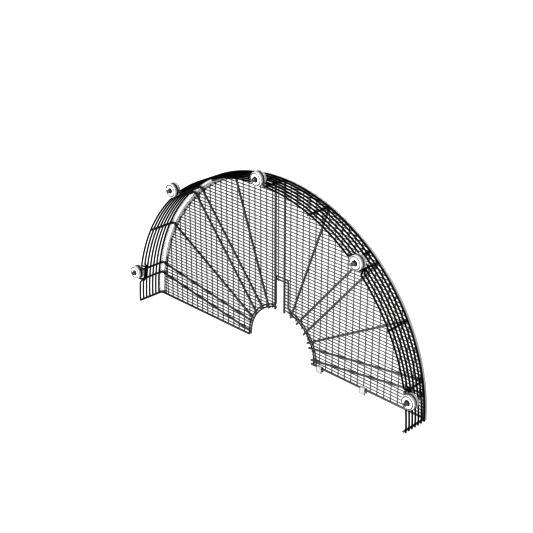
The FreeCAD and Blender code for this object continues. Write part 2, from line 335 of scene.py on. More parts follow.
# %% Outlines turned about an axis or pushed along it
def around(outline, centre, t):
    """Closed (radius, y) outlines at the angles t: x and z are the centre's plus radius * cos t and
    radius * sin t."""
    x = centre[0] + np.cos(t)[:, None] * outline[None, :, 0]
    z = centre[1] + np.sin(t)[:, None] * outline[None, :, 0]
    y = np.broadcast_to(outline[None, :, 1], x.shape)
    return np.stack([x, y, z], -1).reshape(-1, 3)


def flat_ended(count, size):
    """Faces between count outlines of size points, and the first and last as two faces of their own."""
    ends = np.stack([np.arange(size)[::-1], (count - 1) * size + np.arange(size)])
    return [grid_quads(count, size), ends]


def turned(outline, centre, count):
    """An outline carried once round the line through centre along Y."""
    t = np.linspace(0.0, 2 * math.pi, count, endpoint=False)
    return around(outline, centre, t), [grid_quads(count, len(outline), close_rows=True)]


def half_turned(outline, count):
    """An outline carried half way round the fan's axis, with a flat face at each end."""
    points = around(outline, (0.0, 0.0), np.linspace(0.0, math.pi, count))
    return points, flat_ended(count, len(outline))


def pushed(outline, stations):
    """A closed outline of (y, z) pairs carried along X through the stations, with a flat face at each end."""
    count = len(stations)
    points = np.column_stack([np.repeat(stations, len(outline)), np.tile(outline, (count, 1))])
    return points, flat_ended(count, len(outline))


sample_square = rounded_loop([(0, 0), (1, 0), (1, 1), (0, 1)], [0.1] * 4)
print("a rounded square pushed to a bar has", len(pushed(sample_square, [0.0, 1.0])[0]), "points")

# %% [markdown]
# ## Shader maths written as sums
# A finish is a small tree of nodes. Wrapping each output socket in a class with Python's operators lets
# a formula such as `0.4 + 0.1 * noise` add its own Math nodes.


# %% Fields
def sum_rule(operation, swapped=False):
    """A method for Field that adds one Math node, with its two sides swapped if need be."""
    def method(self, other):
        first, second = (other, self) if swapped else (self, other)
        return self.finish.node("ShaderNodeMath", {"operation": operation}, {0: first, 1: second})

    return method


class Field:
    """One output socket. Arithmetic with other fields or numbers adds Math nodes and gives a new field."""

    __add__, __radd__ = sum_rule("ADD"), sum_rule("ADD", swapped=True)
    __sub__, __rsub__ = sum_rule("SUBTRACT"), sum_rule("SUBTRACT", swapped=True)
    __mul__, __rmul__ = sum_rule("MULTIPLY"), sum_rule("MULTIPLY", swapped=True)
    __pow__ = sum_rule("POWER")

    def __init__(self, finish, socket):
        self.finish = finish
        self.socket = socket


print("a field adds a Math node for each of + - * and **")

# %% [markdown]
# ## Finishes
# Every finish is one Principled shader fed by a few nodes. One method adds any node, and a few short ones
# name the nodes that come back in each finish.


# %% Finishes
class Finish:
    """A material whose nodes are added by one method, and whose shader is one Principled BSDF."""

    def __init__(self, name, **fixed):
        self.material = bpy.data.materials.new(name)
        self.material.use_nodes = True
        self.tree = self.material.node_tree
        self.shader = next(n for n in self.tree.nodes if n.type == "BSDF_PRINCIPLED")
        self.set(**fixed)

    def node(self, kind, settings=None, sockets=None, out=0):
        """Any node: its type, its settings, then its sockets' values or links, and the output wanted."""
        node = self.tree.nodes.new(kind)
        for key, value in (settings or {}).items():
            setattr(node, key, value)
        for key, value in (sockets or {}).items():
            self.feed(node.inputs[key], value)
        return Field(self, node.outputs[out])

    def feed(self, socket, value):
        """Links a field to a socket, or writes a plain value on it."""
        if isinstance(value, Field):
            self.tree.links.new(value.socket, socket)
        else:
            socket.default_value = value

    def set(self, **sockets):
        """Feeds the shader's sockets by name, with _ for each blank."""
        for key, value in sockets.items():
            self.feed(self.shader.inputs[key.replace("_", " ")], value)

    def attribute(self, name):
        """A value kept on the mesh, 0 where a piece has none of that name."""
        return self.node("ShaderNodeAttribute", {"attribute_name": name}, out="Fac")

    def place(self):
        """Object coordinates, which stay with the piece."""
        return self.node("ShaderNodeTexCoord", out="Object")

    def noise(self, where, scale, detail=3.0):
        """Smooth noise from 0 to 1, with scale cells to a metre."""
        sockets = {"Vector": where, "Scale": scale, "Detail": detail}
        return self.node("ShaderNodeTexNoise", None, sockets, out="Fac")

    def grey(self, amount, dark, light):
        """A colour that goes from one grey to another as amount goes from 0 to 1."""
        return self.mixed(amount, (dark, dark, dark, 1.0), (light, light, light, 1.0))

    def mixed(self, amount, first, second):
        """The first colour where amount is 0 and the second where it is 1."""
        return self.node("ShaderNodeMix", {"data_type": "RGBA"}, {0: amount, 6: first, 7: second}, out=2)

    def bump(self, height, distance, strength):
        """A normal tilted by height, where 1 stands for distance in metres."""
        sockets = {"Height": height, "Distance": distance, "Strength": strength}
        return self.node("ShaderNodeBump", None, sockets, out="Normal")


print("methods of a finish:", [key for key in vars(Finish) if key[0] != "_"])

# %% [markdown]
# ## Black powder coat and painted light
# The wires are sprayed with a thin black coat and baked. Up close it has the fine ripple of orange peel,
# a slow change of tone, and a sheen that varies a little. Light is painted into the coat over the flat
# face: its grey gets lighter to the right, as in the picture, and stays nearly black on the hoops. So one
# formula over X serves every wire, with its own greys and gloss for hoops, spokes and mesh.


# %% Wire finishes
light_at_left = 0.15
light_reach = 0.42
slow_tone_scale = 16.0
sheen_scale = 160.0
peel_scale = 650.0


def split_place(finish):
    """Object coordinates as one field, then their three parts."""
    where = finish.place()
    x = finish.node("ShaderNodeSeparateXYZ", None, {0: where}, out=0)
    parts = x.socket.node.outputs
    return where, x, Field(finish, parts[1]), Field(finish, parts[2])


def powder_coat(name, shaded_grey, lit_grey, gloss, sheen):
    """Painted light: the grey goes from shaded to lit with a ramp over X, from a low value at the left end to
    1 at the other, times noise for a random tone. Finer noise moves the sheen, and the finest is the ripple
    of the coat."""
    coat = Finish(name, Metallic=0.0, IOR=1.45, Specular_IOR_Level=gloss)
    where, x = split_place(coat)[:2]
    slow = coat.noise(where, slow_tone_scale, 2.0)
    patch = coat.noise(where, sheen_scale, 3.0)
    ripple = coat.noise(where, peel_scale, 2.0)
    ends = {0: x, 1: -light_reach, 2: light_reach, 3: light_at_left, 4: 1.0}
    ramp = coat.node("ShaderNodeMapRange", {"clamp": True}, ends)
    # Painted light over X, lighter to the right, times noise for a random tone.
    light_over_x = ramp * (0.75 + 0.35 * slow + 0.15 * patch)
    coat.set(
        Base_Color=coat.grey(light_over_x, shaded_grey, lit_grey),
        Roughness=sheen - 0.06 + 0.12 * patch + 0.1 * light_over_x,
        Normal=coat.bump(ripple, 0.05 * mm, 0.5),
    )
    return coat.material


hoop_black = powder_coat("hoop_black", 0.005, 0.010, 0.10, 0.42)
spoke_black = powder_coat("spoke_black", 0.038, 0.235, 0.42, 0.42)
mesh_black = powder_coat("mesh_black", 0.028, 0.215, 0.25, 0.45)
print("wire finishes:", hoop_black.name, spoke_black.name, mesh_black.name)

# %% [markdown]
# ## Bright zinc on the rolled band and the clips
# The band is a strip of zinc-plated sheet, rolled to an angle and then to a half circle. Rolling leaves
# faint lines that follow the circle, so the noise is read in polar terms: distance from the axis and
# depth change it quickly, the angle hardly at all. The inside of the angle gets a painted white highlight,
# the lip painted shade, and the clips a grey outline along their sides and lower edge, so two attributes
# that come with the shapes say where.


# %% Band and clip finishes
shade_and_outline_grey = (0.16, 0.16, 0.16, 1.0)
highlight_white = (1.0, 1.0, 1.0, 1.0)
round_stretch = 0.02
line_scale = 900.0
tone_scale = 20.0
ripple_scale = 500.0


def rolled_zinc(name, dark, light):
    """Noise stretched along the circle: its place is (radius, depth, angle times round_stretch). One
    attribute leads to white, a painted highlight, and the other to grey: painted shade on the band's lip
    and an outline along the clips' edges."""
    coat = Finish(name, Metallic=0.15, IOR=1.45, Specular_IOR_Level=0.5)
    where, x, y, z = split_place(coat)
    radius = (x * x + z * z) ** 0.5
    angle = coat.node("ShaderNodeMath", {"operation": "ARCTAN2"}, {0: z, 1: x})
    polar = coat.node("ShaderNodeCombineXYZ", None, {0: radius, 1: y, 2: round_stretch * angle})
    lines = coat.noise(polar, line_scale, 2.0)
    slow = coat.noise(where, tone_scale, 2.0)
    ripple = coat.noise(where, ripple_scale, 2.0)
    plated = coat.grey(0.6 * slow + 0.4 * lines, dark, light)
    # A painted white highlight where the attribute marks the inside of the angle.
    sheet = coat.mixed(coat.attribute("painted_highlight"), plated, highlight_white)
    coat.set(
        # Painted shade on the band's lip, and a grey outline along the clips' edges.
        Base_Color=coat.mixed(coat.attribute("lip_shade_and_clip_outline"), sheet, shade_and_outline_grey),
        Roughness=0.30 + 0.16 * lines,
        Normal=coat.bump(0.5 * lines + 0.5 * ripple, 0.04 * mm, 0.4),
    )
    return coat.material


band_zinc = rolled_zinc("band_zinc", 0.60, 0.68)
clip_zinc = rolled_zinc("clip_zinc", 0.54, 0.62)
print("sheet finishes:", band_zinc.name, clip_zinc.name)

# %% [markdown]
# ## White rubber and turned steel
# The grommets are moulded in white rubber with a dull, fine grain. Shade is painted into the rubber where
# it falls: in the groove, round the sleeve, on the sides and in a ring near the rim. That amount is worked
# out with the shape and kept on the mesh as an attribute. The sleeves are turned from bar, so they carry
# fine rings; they are dark outside, and the bore is painted bright, as painted light.


# %% Grommet and sleeve finishes
grain_scale = 1400.0
blotch_scale = 90.0
ring_scale = 2600.0
wear_scale = 140.0


def white_rubber(name):
    """Base grey falls with the painted shade attribute, and fine noise gives the moulded grain."""
    rubber = Finish(name, Metallic=0.0, IOR=1.48, Specular_IOR_Level=0.3)
    where = rubber.place()
    grain = rubber.noise(where, grain_scale, 2.0)
    patch = rubber.noise(where, blotch_scale, 3.0)
    # Painted shade from the attribute, varied a little by noise.
    shade_amount = rubber.attribute("grime") * (0.75 + 0.5 * patch)
    rubber.set(
        Base_Color=rubber.grey(shade_amount, 0.92, 0.02),
        Roughness=0.62 + 0.12 * patch,
        Normal=rubber.bump(grain, 0.04 * mm, 0.5),
    )
    return rubber.material


def turned_steel(name):
    """Rings that follow depth: noise read at (0, depth, 0), so it is even round each sleeve."""
    steel = Finish(name, Metallic=1.0)
    where, x, y, z = split_place(steel)
    line = steel.node("ShaderNodeCombineXYZ", None, {1: y})
    rings = steel.noise(line, ring_scale, 3.0)
    patch = steel.noise(where, wear_scale, 2.0)
    # The bore is painted bright, a painted light where it would lie in shade.
    steel.set(
        Base_Color=steel.grey(0.25 * patch + 0.75 * steel.attribute("rubbed"), 0.15, 0.90),
        Roughness=0.28 + 0.16 * rings,
        Normal=steel.bump(rings, 0.03 * mm, 0.6),
    )
    return steel.material


grommet_white = white_rubber("grommet_white")
sleeve_zinc = turned_steel("sleeve_zinc")
print("small part finishes:", grommet_white.name, sleeve_zinc.name)

# %% [markdown]
# ## Handing a piece over
# The guard is one welded body, so every piece rides on the same one. The replaced nodes hide, so nothing
# shows twice.


# %% Hand a finished piece to the frame
made = []


def finished(piece, material, slot, *nodes):
    """Gives a piece its finish and its body, and hides the nodes that it stands for. The slot is not used."""
    piece.data.materials.append(material)
    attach(piece, "root")
    if nodes:
        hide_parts(*nodes)
    made.append(piece)


def wire(name, path, side, radius, node, finish=spoke_black, **end):
    """One round wire along a path, finished and handed over."""
    finished(add_mesh(name, *tube(path, side, radius, **end)), finish, "wire_paint", node)


print("pieces so far:", len(made))

# %% [markdown]
# ## Lines across the face
# Every spoke is a straight line in the flat face, and a hairpin is two, one on each side of the line
# through its sleeve. A small class keeps the direction and says where the line reaches a given radius.


# %% Lines of the spokes
class SpokeLine:
    """A straight line in the face: a direction and the sideways distance from the fan's axis."""

    def __init__(self, degrees, through=(0.0, 0.0)):
        a = math.radians(degrees)
        self.direction = np.array([math.cos(a), 0.0, math.sin(a)])
        self.across = np.array([-math.sin(a), 0.0, math.cos(a)])
        self.offset = self.across[0] * through[0] + self.across[2] * through[1]

    def reach(self, radius, side=0.0):
        """Where a line moved sideways meets the circle: the root of radius squared less offset squared."""
        return math.sqrt(radius ** 2 - (self.offset + side) ** 2)

    def at(self, along, y, side=0.0):
        """A point that far along, at depth y, moved sideways by side."""
        return self.direction * along + self.across * (self.offset + side) + np.array([0.0, y, 0.0])


def sleeve_centre(key):
    """The x and z of a sleeve's axis."""
    return middle("sleeve_" + key, 0), middle("sleeve_" + key, 2)


pairs = {key: SpokeLine(angle, sleeve_centre(key)) for key, angle in pair_angles.items()}
singles = {angle: SpokeLine(angle) for angle in single_angles}
print("lines of", len(pairs), "hairpins and", len(singles), "single spokes")

# %% [markdown]
# ## The wall of hoops
# Seven hoops of 3.4 mm wire make the wall. The five rear ones are plain half rings. The two at the front
# step back behind every grommet, in a ramp with small bends. Rolled flat, such a hoop is a line with
# trapezium steps, so it is drawn flat and then wrapped: distance along the wall over radius is the angle.

# %% Hoops
plain_stations = 150
step_bend = 4.0 * mm
step_flats = {1: 16.5 * mm, 2: 18.7 * mm}
step_slopes = {1: math.radians(65.0), 2: math.radians(50.0)}
hoop_rest_y = {}
hoop_back_y = {}


def wrapped(flat):
    """Flat (distance, depth) pairs laid on the wall: angle = distance / ring radius."""
    t = flat[:, 0] / ring_r
    outward_side = np.stack([np.cos(t), np.zeros(len(t)), np.sin(t)], -1)
    path = outward_side * ring_r
    path[:, 1] = flat[:, 1]
    return path, outward_side


def stepped_line(number):
    """Corners of one stepped hoop rolled flat, with each ramp's run worked out from its slope."""
    low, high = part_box("hoop_%d" % number)
    rest = low.y + hoop_wire_r
    stepped = high.y - hoop_wire_r
    slope = step_slopes[number]
    rise = stepped - rest - 2 * step_bend * (1 - math.cos(slope))
    run = 2 * step_bend * math.sin(slope) + rise / math.tan(slope)
    cut = step_bend * math.tan(slope / 2)
    corners = [(0.0, rest)]
    for line in pairs.values():
        p = line.at(line.reach(ring_r), 0.0)
        here = math.atan2(p[2], p[0]) * ring_r
        flat = step_flats[number]
        corners += [
            (here - flat - run + cut, rest),
            (here - flat - cut, stepped),
            (here + flat + cut, stepped),
            (here + flat + run - cut, rest),
        ]
    corners.append((math.pi * ring_r, rest))
    hoop_rest_y[number] = rest
    hoop_back_y[number] = stepped
    return bent_path(corners, step_bend, step=8 * mm, count=7)


for number in range(1, hoop_count + 1):
    if number in step_flats:
        path, outside = wrapped(stepped_line(number))
    else:
        depth = middle("hoop_%d" % number, 1)
        hoop_rest_y[number] = hoop_back_y[number] = depth
        distances = np.linspace(0.0, math.pi * ring_r, plain_stations)
        path, outside = wrapped(np.stack([distances, np.full(plain_stations, depth)], -1))
    wire("hoop_wire_%d" % number, path, outside, hoop_wire_r, "hoop_%d" % number, hoop_black)
print("hoops at depths", [round(y / mm, 2) for y in hoop_rest_y.values()], "mm")

# %% [markdown]
# ## Single spokes
# A single spoke is a 5 mm wire with one bend: along the face, round the rim and forward inside the hoops.
# The two bottom wires have the same shape and close the cut side.

# %% Single spokes and bottom wires
for angle, line in singles.items():
    rim = line.reach(leg_r)
    corners = [
        line.at(line.reach(spoke_inner_r), spoke_y),
        line.at(rim, spoke_y),
        line.at(rim, single_end_y),
    ]
    path = bent_path(corners, spoke_bend)
    wire("single_spoke_%d" % angle, path, line.across, spoke_r, "spoke_%d" % angle)

for side_name, sign in (("right", 1.0), ("left", -1.0)):
    node = "bottom_wire_" + side_name
    low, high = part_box(node)
    bottom_z = low.z + spoke_r
    end_y = low.y
    corners = [
        (sign * spoke_inner_r, spoke_y, bottom_z),
        (sign * leg_r, spoke_y, bottom_z),
        (sign * leg_r, end_y, bottom_z),
    ]
    wire("bottom_edge_" + side_name, bent_path(corners, spoke_bend), (0.0, 0.0, 1.0), spoke_r, node)
print("single spokes:", len(singles), "and two bottom wires")

# %% [markdown]
# ## Hairpins
# A hairpin is one wire with two legs, joined by a loop that leaves the wall and goes round a grommet's
# groove. The loop's side direction points away from its middle, which turns it smoothly from one leg to
# the other, so the tube never twists.

# %% Hairpins
grommet_out_r = (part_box("grommet_90")[1].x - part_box("grommet_90")[0].x) / 2 - hair
loop_r = (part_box("hairpin_90")[1].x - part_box("hairpin_90")[0].x) / 2 - spoke_r
loop_stations = 21


def leg(line, side, middle_along):
    """Corners of one leg, from the hub to where the loop begins."""
    rim = line.reach(leg_r, side)
    return [
        line.at(line.reach(spoke_inner_r, side), spoke_y, side),
        line.at(rim, spoke_y, side),
        line.at(rim, loop_y, side),
        line.at(middle_along, loop_y, side),
    ]


for key, line in pairs.items():
    x, z = sleeve_centre(key)
    middle_along = line.direction[0] * x + line.direction[2] * z
    out_leg = bent_path(leg(line, loop_r, middle_along), spoke_bend)
    back_leg = bent_path(leg(line, -loop_r, middle_along), spoke_bend)[::-1]
    t = np.linspace(0.0, math.pi, loop_stations)[1:-1, None]
    away = np.cos(t) * line.across + np.sin(t) * line.direction
    loop = line.at(middle_along, loop_y) + loop_r * away
    path = np.concatenate([out_leg, loop, back_leg])
    ones = np.ones((len(out_leg), 1))
    side = np.concatenate([ones * line.across, away, -ones * line.across])
    wire("hairpin_wire_" + key, path, side, spoke_r - hair, "hairpin_" + key)
print("hairpins:", len(pairs), "with loops of", round(loop_r / mm, 2), "mm")

# %% [markdown]
# ## Upright wires
# Upright wires lie behind the spokes, and the hub opening, the slot and the clips cut some short. All the
# wires of one layer are one array operation.

# %% Upright wires
upright_pitch = 20.0 * mm
upright_offset = -8.8 * mm
mesh_last = 6.0 * mm
clip_clear = 0.2 * mm
upright_y = middle("mesh_uprights", 1)
band_lip_r = 440.0 * mm
mesh_outer_r = band_lip_r + 4.0 * mm
mesh_inner_r = spoke_inner_r + 1.0 * mm
slot_half = 20.5 * mm
slot_bar_z = middle("slot_bar", 2)
cut_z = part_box("mesh_uprights")[0].z


def half_chord(radius, x):
    """Half the width of a circle at distance x from its middle, and 0 outside it."""
    return np.sqrt(np.maximum(radius ** 2 - np.asarray(x) ** 2, 0.0))


def at_depth(x, y, z):
    """Points (x, y, z) from arrays x and z and one depth y."""
    return np.stack([x, np.full(len(x), y), z], -1)


count = int(mesh_outer_r / upright_pitch) + 1
upright_x = upright_offset + upright_pitch * np.arange(-count, count + 1)
upright_x = upright_x[np.abs(upright_x) < mesh_outer_r - mesh_last]
upright_low = np.maximum(cut_z, half_chord(mesh_inner_r, upright_x))
in_slot = (upright_x > -slot_half) & (upright_x < 0.0)
upright_low = np.where(in_slot, slot_bar_z - hub_wire_r, upright_low)
for node in ("clip_1", "clip_2"):
    low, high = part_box(node)
    under = (upright_x > low.x - mesh_r) & (upright_x < high.x + mesh_r)
    upright_low = np.where(under, high.z + clip_clear, upright_low)
upright_high = half_chord(mesh_outer_r, upright_x)
starts = at_depth(upright_x, upright_y, upright_low)
ends = at_depth(upright_x, upright_y, upright_high)
uprights = add_mesh("upright_wires", *rods(starts, ends, (1.0, 0.0, 0.0), mesh_r))
finished(uprights, mesh_black, "mesh_paint", "mesh_uprights")
print("upright wires:", len(upright_x))

# %% [markdown]
# ## Cross wires
# Cross wires are welded on the uprights' backs at a closer pitch. Beside the hub opening and the slot each
# row is two wires, one to the left and one to the right.

# %% Cross wires
cross_pitch = 8.55 * mm
cross_first_z = 7.8 * mm
cross_y = middle("mesh_cross_wires", 1)
cross_z = np.arange(cross_first_z, mesh_outer_r - mesh_last, cross_pitch)
outer_x = half_chord(mesh_outer_r, cross_z)
inner_x = half_chord(mesh_inner_r, cross_z)
split = cross_z < slot_bar_z - hub_wire_r
gap_left = -np.maximum(inner_x, slot_half - hub_wire_r)
gap_right = np.maximum(inner_x, upright_offset + upright_pitch - mesh_r)
start_x = np.concatenate([-outer_x[split], gap_right[split], -outer_x[~split]])
end_x = np.concatenate([gap_left[split], outer_x[split], outer_x[~split]])
row_z = np.concatenate([cross_z[split], cross_z[split], cross_z[~split]])
starts = at_depth(start_x, cross_y, row_z)
ends = at_depth(end_x, cross_y, row_z)
crosses = add_mesh("cross_wires", *rods(starts, ends, (0.0, 0.0, 1.0), mesh_r))
finished(crosses, mesh_black, "mesh_paint", "mesh_cross_wires")
print("cross wires:", len(row_z), "in", len(cross_z), "rows")

# %% [markdown]
# ## The hub opening
# Two hub wires run behind the mesh round the opening. The outer one turns up both sides of a slot and
# across its top. The turn between ring and slot bends the other way: its middle lies one bend radius
# outside the ring and one beside the slot, which gives it by Pythagoras. One half is worked out and
# mirrored. A short bar closes the slot just below.

# %% Hub wires
hub_inner_r = spoke_inner_r + 1.8 * mm
hub_outer_r = hub_inner_r + 6.7 * mm
hub_corner = 6.0 * mm
slot_top_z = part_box("hub_frame_wire")[1].z - hub_wire_r
hub_tube_r = hub_wire_r - hair / 4
ring_stations = 40
turn_stations = 9
along_y = (0.0, 1.0, 0.0)


def hub_arc(radius, from_angle, to_angle, count):
    """Points (radius * cos t, hub_y, radius * sin t), with t evenly from one angle to the other."""
    t = np.linspace(from_angle, to_angle, count)
    return at_depth(radius * np.cos(t), hub_y, radius * np.sin(t))


corner_x = slot_half + hub_corner
corner_z = math.sqrt((hub_outer_r + hub_corner) ** 2 - corner_x ** 2)
lean = math.atan2(corner_z, corner_x)
low_angle = math.asin(cut_z / hub_outer_r)
right_arc = hub_arc(hub_outer_r, low_angle, lean, ring_stations)
inside_turn = hub_arc(hub_corner, lean + math.pi, math.pi, turn_stations)[1:] + [corner_x, 0.0, corner_z]
half_way = [(slot_half, hub_y, corner_z), (slot_half, hub_y, slot_top_z), (0.0, hub_y, slot_top_z)]
right_side = np.concatenate([right_arc, inside_turn, bent_path(half_way, hub_corner)[1:]])
left_side = right_side[-2::-1] * np.array([-1.0, 1.0, 1.0])
wire("hub_frame", np.concatenate([right_side, left_side]), along_y, hub_tube_r, "hub_frame_wire")

low_angle = math.asin(cut_z / hub_inner_r)
high_angle = math.acos((slot_half - hub_wire_r) / hub_inner_r)
arcs = {"right": (low_angle, high_angle), "left": (math.pi - high_angle, math.pi - low_angle)}
for side_name, ends in arcs.items():
    path = hub_arc(hub_inner_r, *ends, ring_stations)
    wire("hub_ring_" + side_name, path, along_y, hub_tube_r, "hub_wire_" + side_name)

bar_half = slot_half - hub_wire_r
bar = [(-bar_half, hub_y, slot_bar_z), (0.0, hub_y, slot_bar_z), (bar_half, hub_y, slot_bar_z)]
wire("slot_cross_bar", bar, along_y, hub_tube_r, "slot_bar", cut=0.1 * mm)
print("hub rings at", round(hub_inner_r / mm, 1), "and", round(hub_outer_r / mm, 1), "mm")

# %% [markdown]
# ## Weld beads
# Resistance welding squeezes crossing wires together and leaves a small bead at each touch. A bead is a
# low ellipsoid of a few dozen faces, and thousands of them are still one array. They sit where the
# wires' centre lines cross, seen along the depth, and at the depth where the two wires touch.

# %% Beads on the mesh
mesh_bead = np.array([1.3, 0.75, 1.3]) * mm
grid_x, grid_z = np.meshgrid(upright_x, cross_z, indexing="ij")
on_upright = (grid_z > upright_low[:, None]) & (grid_z < upright_high[:, None])
on_cross = np.abs(grid_x) < outer_x[None, :]
on_cross &= (grid_x < gap_left[None, :]) | (grid_x > (gap_right - mesh_r)[None, :]) | ~split[None, :]
there = on_upright & on_cross
touches = at_depth(grid_x[there], (upright_y + cross_y) / 2, grid_z[there])
finished(add_mesh("mesh_weld_beads", *beads(touches, mesh_bead)), mesh_black, "mesh_paint")
print("mesh welds:", len(touches))

# %% [markdown]
# ## More beads
# Spokes touch the upright wires in front, their legs touch the hoops from inside, and the cross wires
# touch the hub wires and the band's lip. A spoke that stands upright meets no upright wire.

# %% Beads on the spokes, the hoops and the hub
spoke_bead = np.array([1.7, 0.9, 1.7]) * mm
hoop_bead = np.array([1.7, 1.3, 1.7]) * mm
ring_bead = np.array([1.4, 0.6, 1.4]) * mm
lip_weld_r = band_lip_r + 2.0 * mm
nearly_upright = 0.05
legs = [(line, 0.0) for line in singles.values()]
legs += [(line, side) for line in pairs.values() for side in (loop_r, -loop_r)]
spoke_welds = []
for line, side in legs:
    if abs(line.direction[0]) < nearly_upright:
        continue
    along = (upright_x - line.across[0] * (line.offset + side)) / line.direction[0]
    inside = along > line.reach(spoke_inner_r, side)
    inside &= along < line.reach(mesh_outer_r, side) - spoke_bend
    hits = line.direction * along[inside, None] + line.across * (line.offset + side)
    hits[:, 1] = spoke_y + spoke_r
    spoke_welds.append(hits)
spoke_welds = np.concatenate(spoke_welds)
finished(add_mesh("spoke_weld_beads", *beads(spoke_welds, spoke_bead)), spoke_black, "wire_paint")

contact_r = ring_r - hoop_wire_r
hoop_welds = []
for number in range(1, hoop_count + 1):
    for line, side in legs:
        depth = hoop_back_y[number] if side else hoop_rest_y[number]
        hoop_welds.append(line.at(line.reach(contact_r, side), depth, side))
    for sign in (1.0, -1.0):
        hoop_welds.append((sign * contact_r, hoop_rest_y[number], bottom_z))
finished(add_mesh("hoop_weld_beads", *beads(hoop_welds, hoop_bead)), hoop_black, "wire_paint")

ring_welds = []
for radius in (hub_inner_r, hub_outer_r, lip_weld_r):
    x = half_chord(radius, cross_z)
    x = x[x > slot_half]
    z = cross_z[:len(x)]
    for sign in (1.0, -1.0):
        ring_welds.append(at_depth(sign * x, cross_y + mesh_r, z))
ring_welds = np.concatenate(ring_welds)
finished(add_mesh("hub_weld_beads", *beads(ring_welds, ring_bead)), mesh_black, "mesh_paint")
print("welds on spokes, hoops and hub:", len(spoke_welds), len(hoop_welds), len(ring_welds))

# %% [markdown]
# ## The rolled band
# The band is one outline, an angle with a wide bend, carried half way round the fan's axis. Its sheet
# edges are slightly rounded, as slit strip is. The inside of the angle gets a painted highlight and the
# lip beside it painted shade, so each point there keeps which of the two it is on.

# %% Edge band
band_t = 1.5 * mm
band_bend = 9.0 * mm
band_stations = 140
painted_lip_shade = 0.42
highlight_share = 0.45
edge_round = 0.4 * mm
band_low, band_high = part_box("edge_band")
outer = band_high.x
inner = outer - band_t
rear = band_high.y
face_side = rear - band_t
front = band_low.y
outline = rounded_loop(
    [
        (band_lip_r, rear), (outer, rear), (outer, front),
        (inner, front), (inner, face_side), (band_lip_r, face_side),
    ],
    [edge_round, band_bend, edge_round, edge_round, band_bend - band_t, edge_round],
    count=8,
)
points, faces = half_turned(outline, band_stations)
from_axis = np.hypot(points[:, 0], points[:, 2])
# Painted shade on the front of the lip, and a painted highlight on the front of the angle.
in_front = points[:, 1] < face_side + hair
on_lip = in_front & (from_axis < inner - highlight_share * (band_bend - band_t))
in_angle = in_front & ~on_lip & (from_axis < inner + hair)
tones = {"lip_shade_and_clip_outline": painted_lip_shade * on_lip, "painted_highlight": 1.0 * in_angle}
finished(add_mesh("rolled_edge_band", points, faces, tones), band_zinc, "band_plate", "edge_band")
print("band outline of", len(outline), "points")

# %% [markdown]
# ## The clips
# A clip is a strip folded over the bottom wire and open below, which takes the edge wire of the matching
# lower half. It is one outline pushed along X, with more stations near its sides, and a point just above
# its front end, that hold its grey outline along the sides and the lower edge.

# %% Clips
clip_t = 1.5 * mm
clip_edge = 0.35 * mm
clip_outline_width = 0.9 * mm
leg_difference = 1.8 * mm
fold_share = 0.98
fold_points = 9


def clip_outline(low, high):
    """A hairpin outline: two legs joined by a half round top, the rear leg shorter than the front."""
    wide = (high.y - low.y) / 2
    narrow = wide - clip_t
    y = (low.y + high.y) / 2
    top = high.z
    rear_end = low.z + leg_difference
    outline = rounded_loop(
        [
            (y - wide, low.z), (y - wide, top), (y + wide, top), (y + wide, rear_end), (y + narrow, rear_end),
            (y + narrow, top - clip_t), (y - narrow, top - clip_t), (y - narrow, low.z),
        ],
        [
            clip_edge, wide * fold_share, wide * fold_share, clip_edge,
            clip_edge, narrow * fold_share, narrow * fold_share, clip_edge,
        ],
        fold_points,
    )
    above_end = (low.y, low.z + 2.0 * clip_outline_width)
    return np.insert(outline, fold_points, [above_end], axis=0)


for number in (1, 2):
    node = "clip_%d" % number
    low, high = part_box(node)
    steps = clip_outline_width * np.arange(3)
    stations = np.concatenate([low.x + steps, high.x - steps[::-1]])
    points, faces = pushed(clip_outline(low, high), stations)
    to_side = np.minimum(points[:, 0] - low.x, high.x - points[:, 0])
    to_edge = np.minimum(to_side, points[:, 2] - low.z)
    # A grey outline along the sides and the lower edge.
    clip = add_mesh("folded_clip_%d" % number, points, faces, {"lip_shade_and_clip_outline": to_edge < 1.5 * clip_outline_width})
    bevel = clip.modifiers.new("side_edges", "BEVEL")
    bevel.width = clip_edge
    bevel.segments = 2
    bevel.limit_method = "ANGLE"
    bevel.angle_limit = math.radians(50.0)
    finished(clip, clip_zinc, "clip_plate", node)
print("clips over", round(spoke_r * 2 / mm, 1), "mm wire")

# %% [markdown]
# ## The grommets
# A grommet is one turned outline: a flat front face with a rounded rim, a groove for the hairpin's loop,
# a second flange and a small recess round the sleeve. Painted shade is 1 in the groove and the recess, less
# on the sides, and 0 on the open front but for a ring near the rim, which outlines the grommet in the
# picture and has points of its own on the front face.

# %% Grommets
groove_r = loop_r - spoke_r
groove_half = 2.6 * mm
recess_depth = 2.5 * mm
sleeve_r = 5.0 * mm
recess_r = sleeve_r + 1.3 * mm
rim_round = 2.4 * mm
small_round = 0.5 * mm
grommet_sides = 72
front_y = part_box("grommet_90")[0].y
rear_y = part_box("grommet_90")[1].y

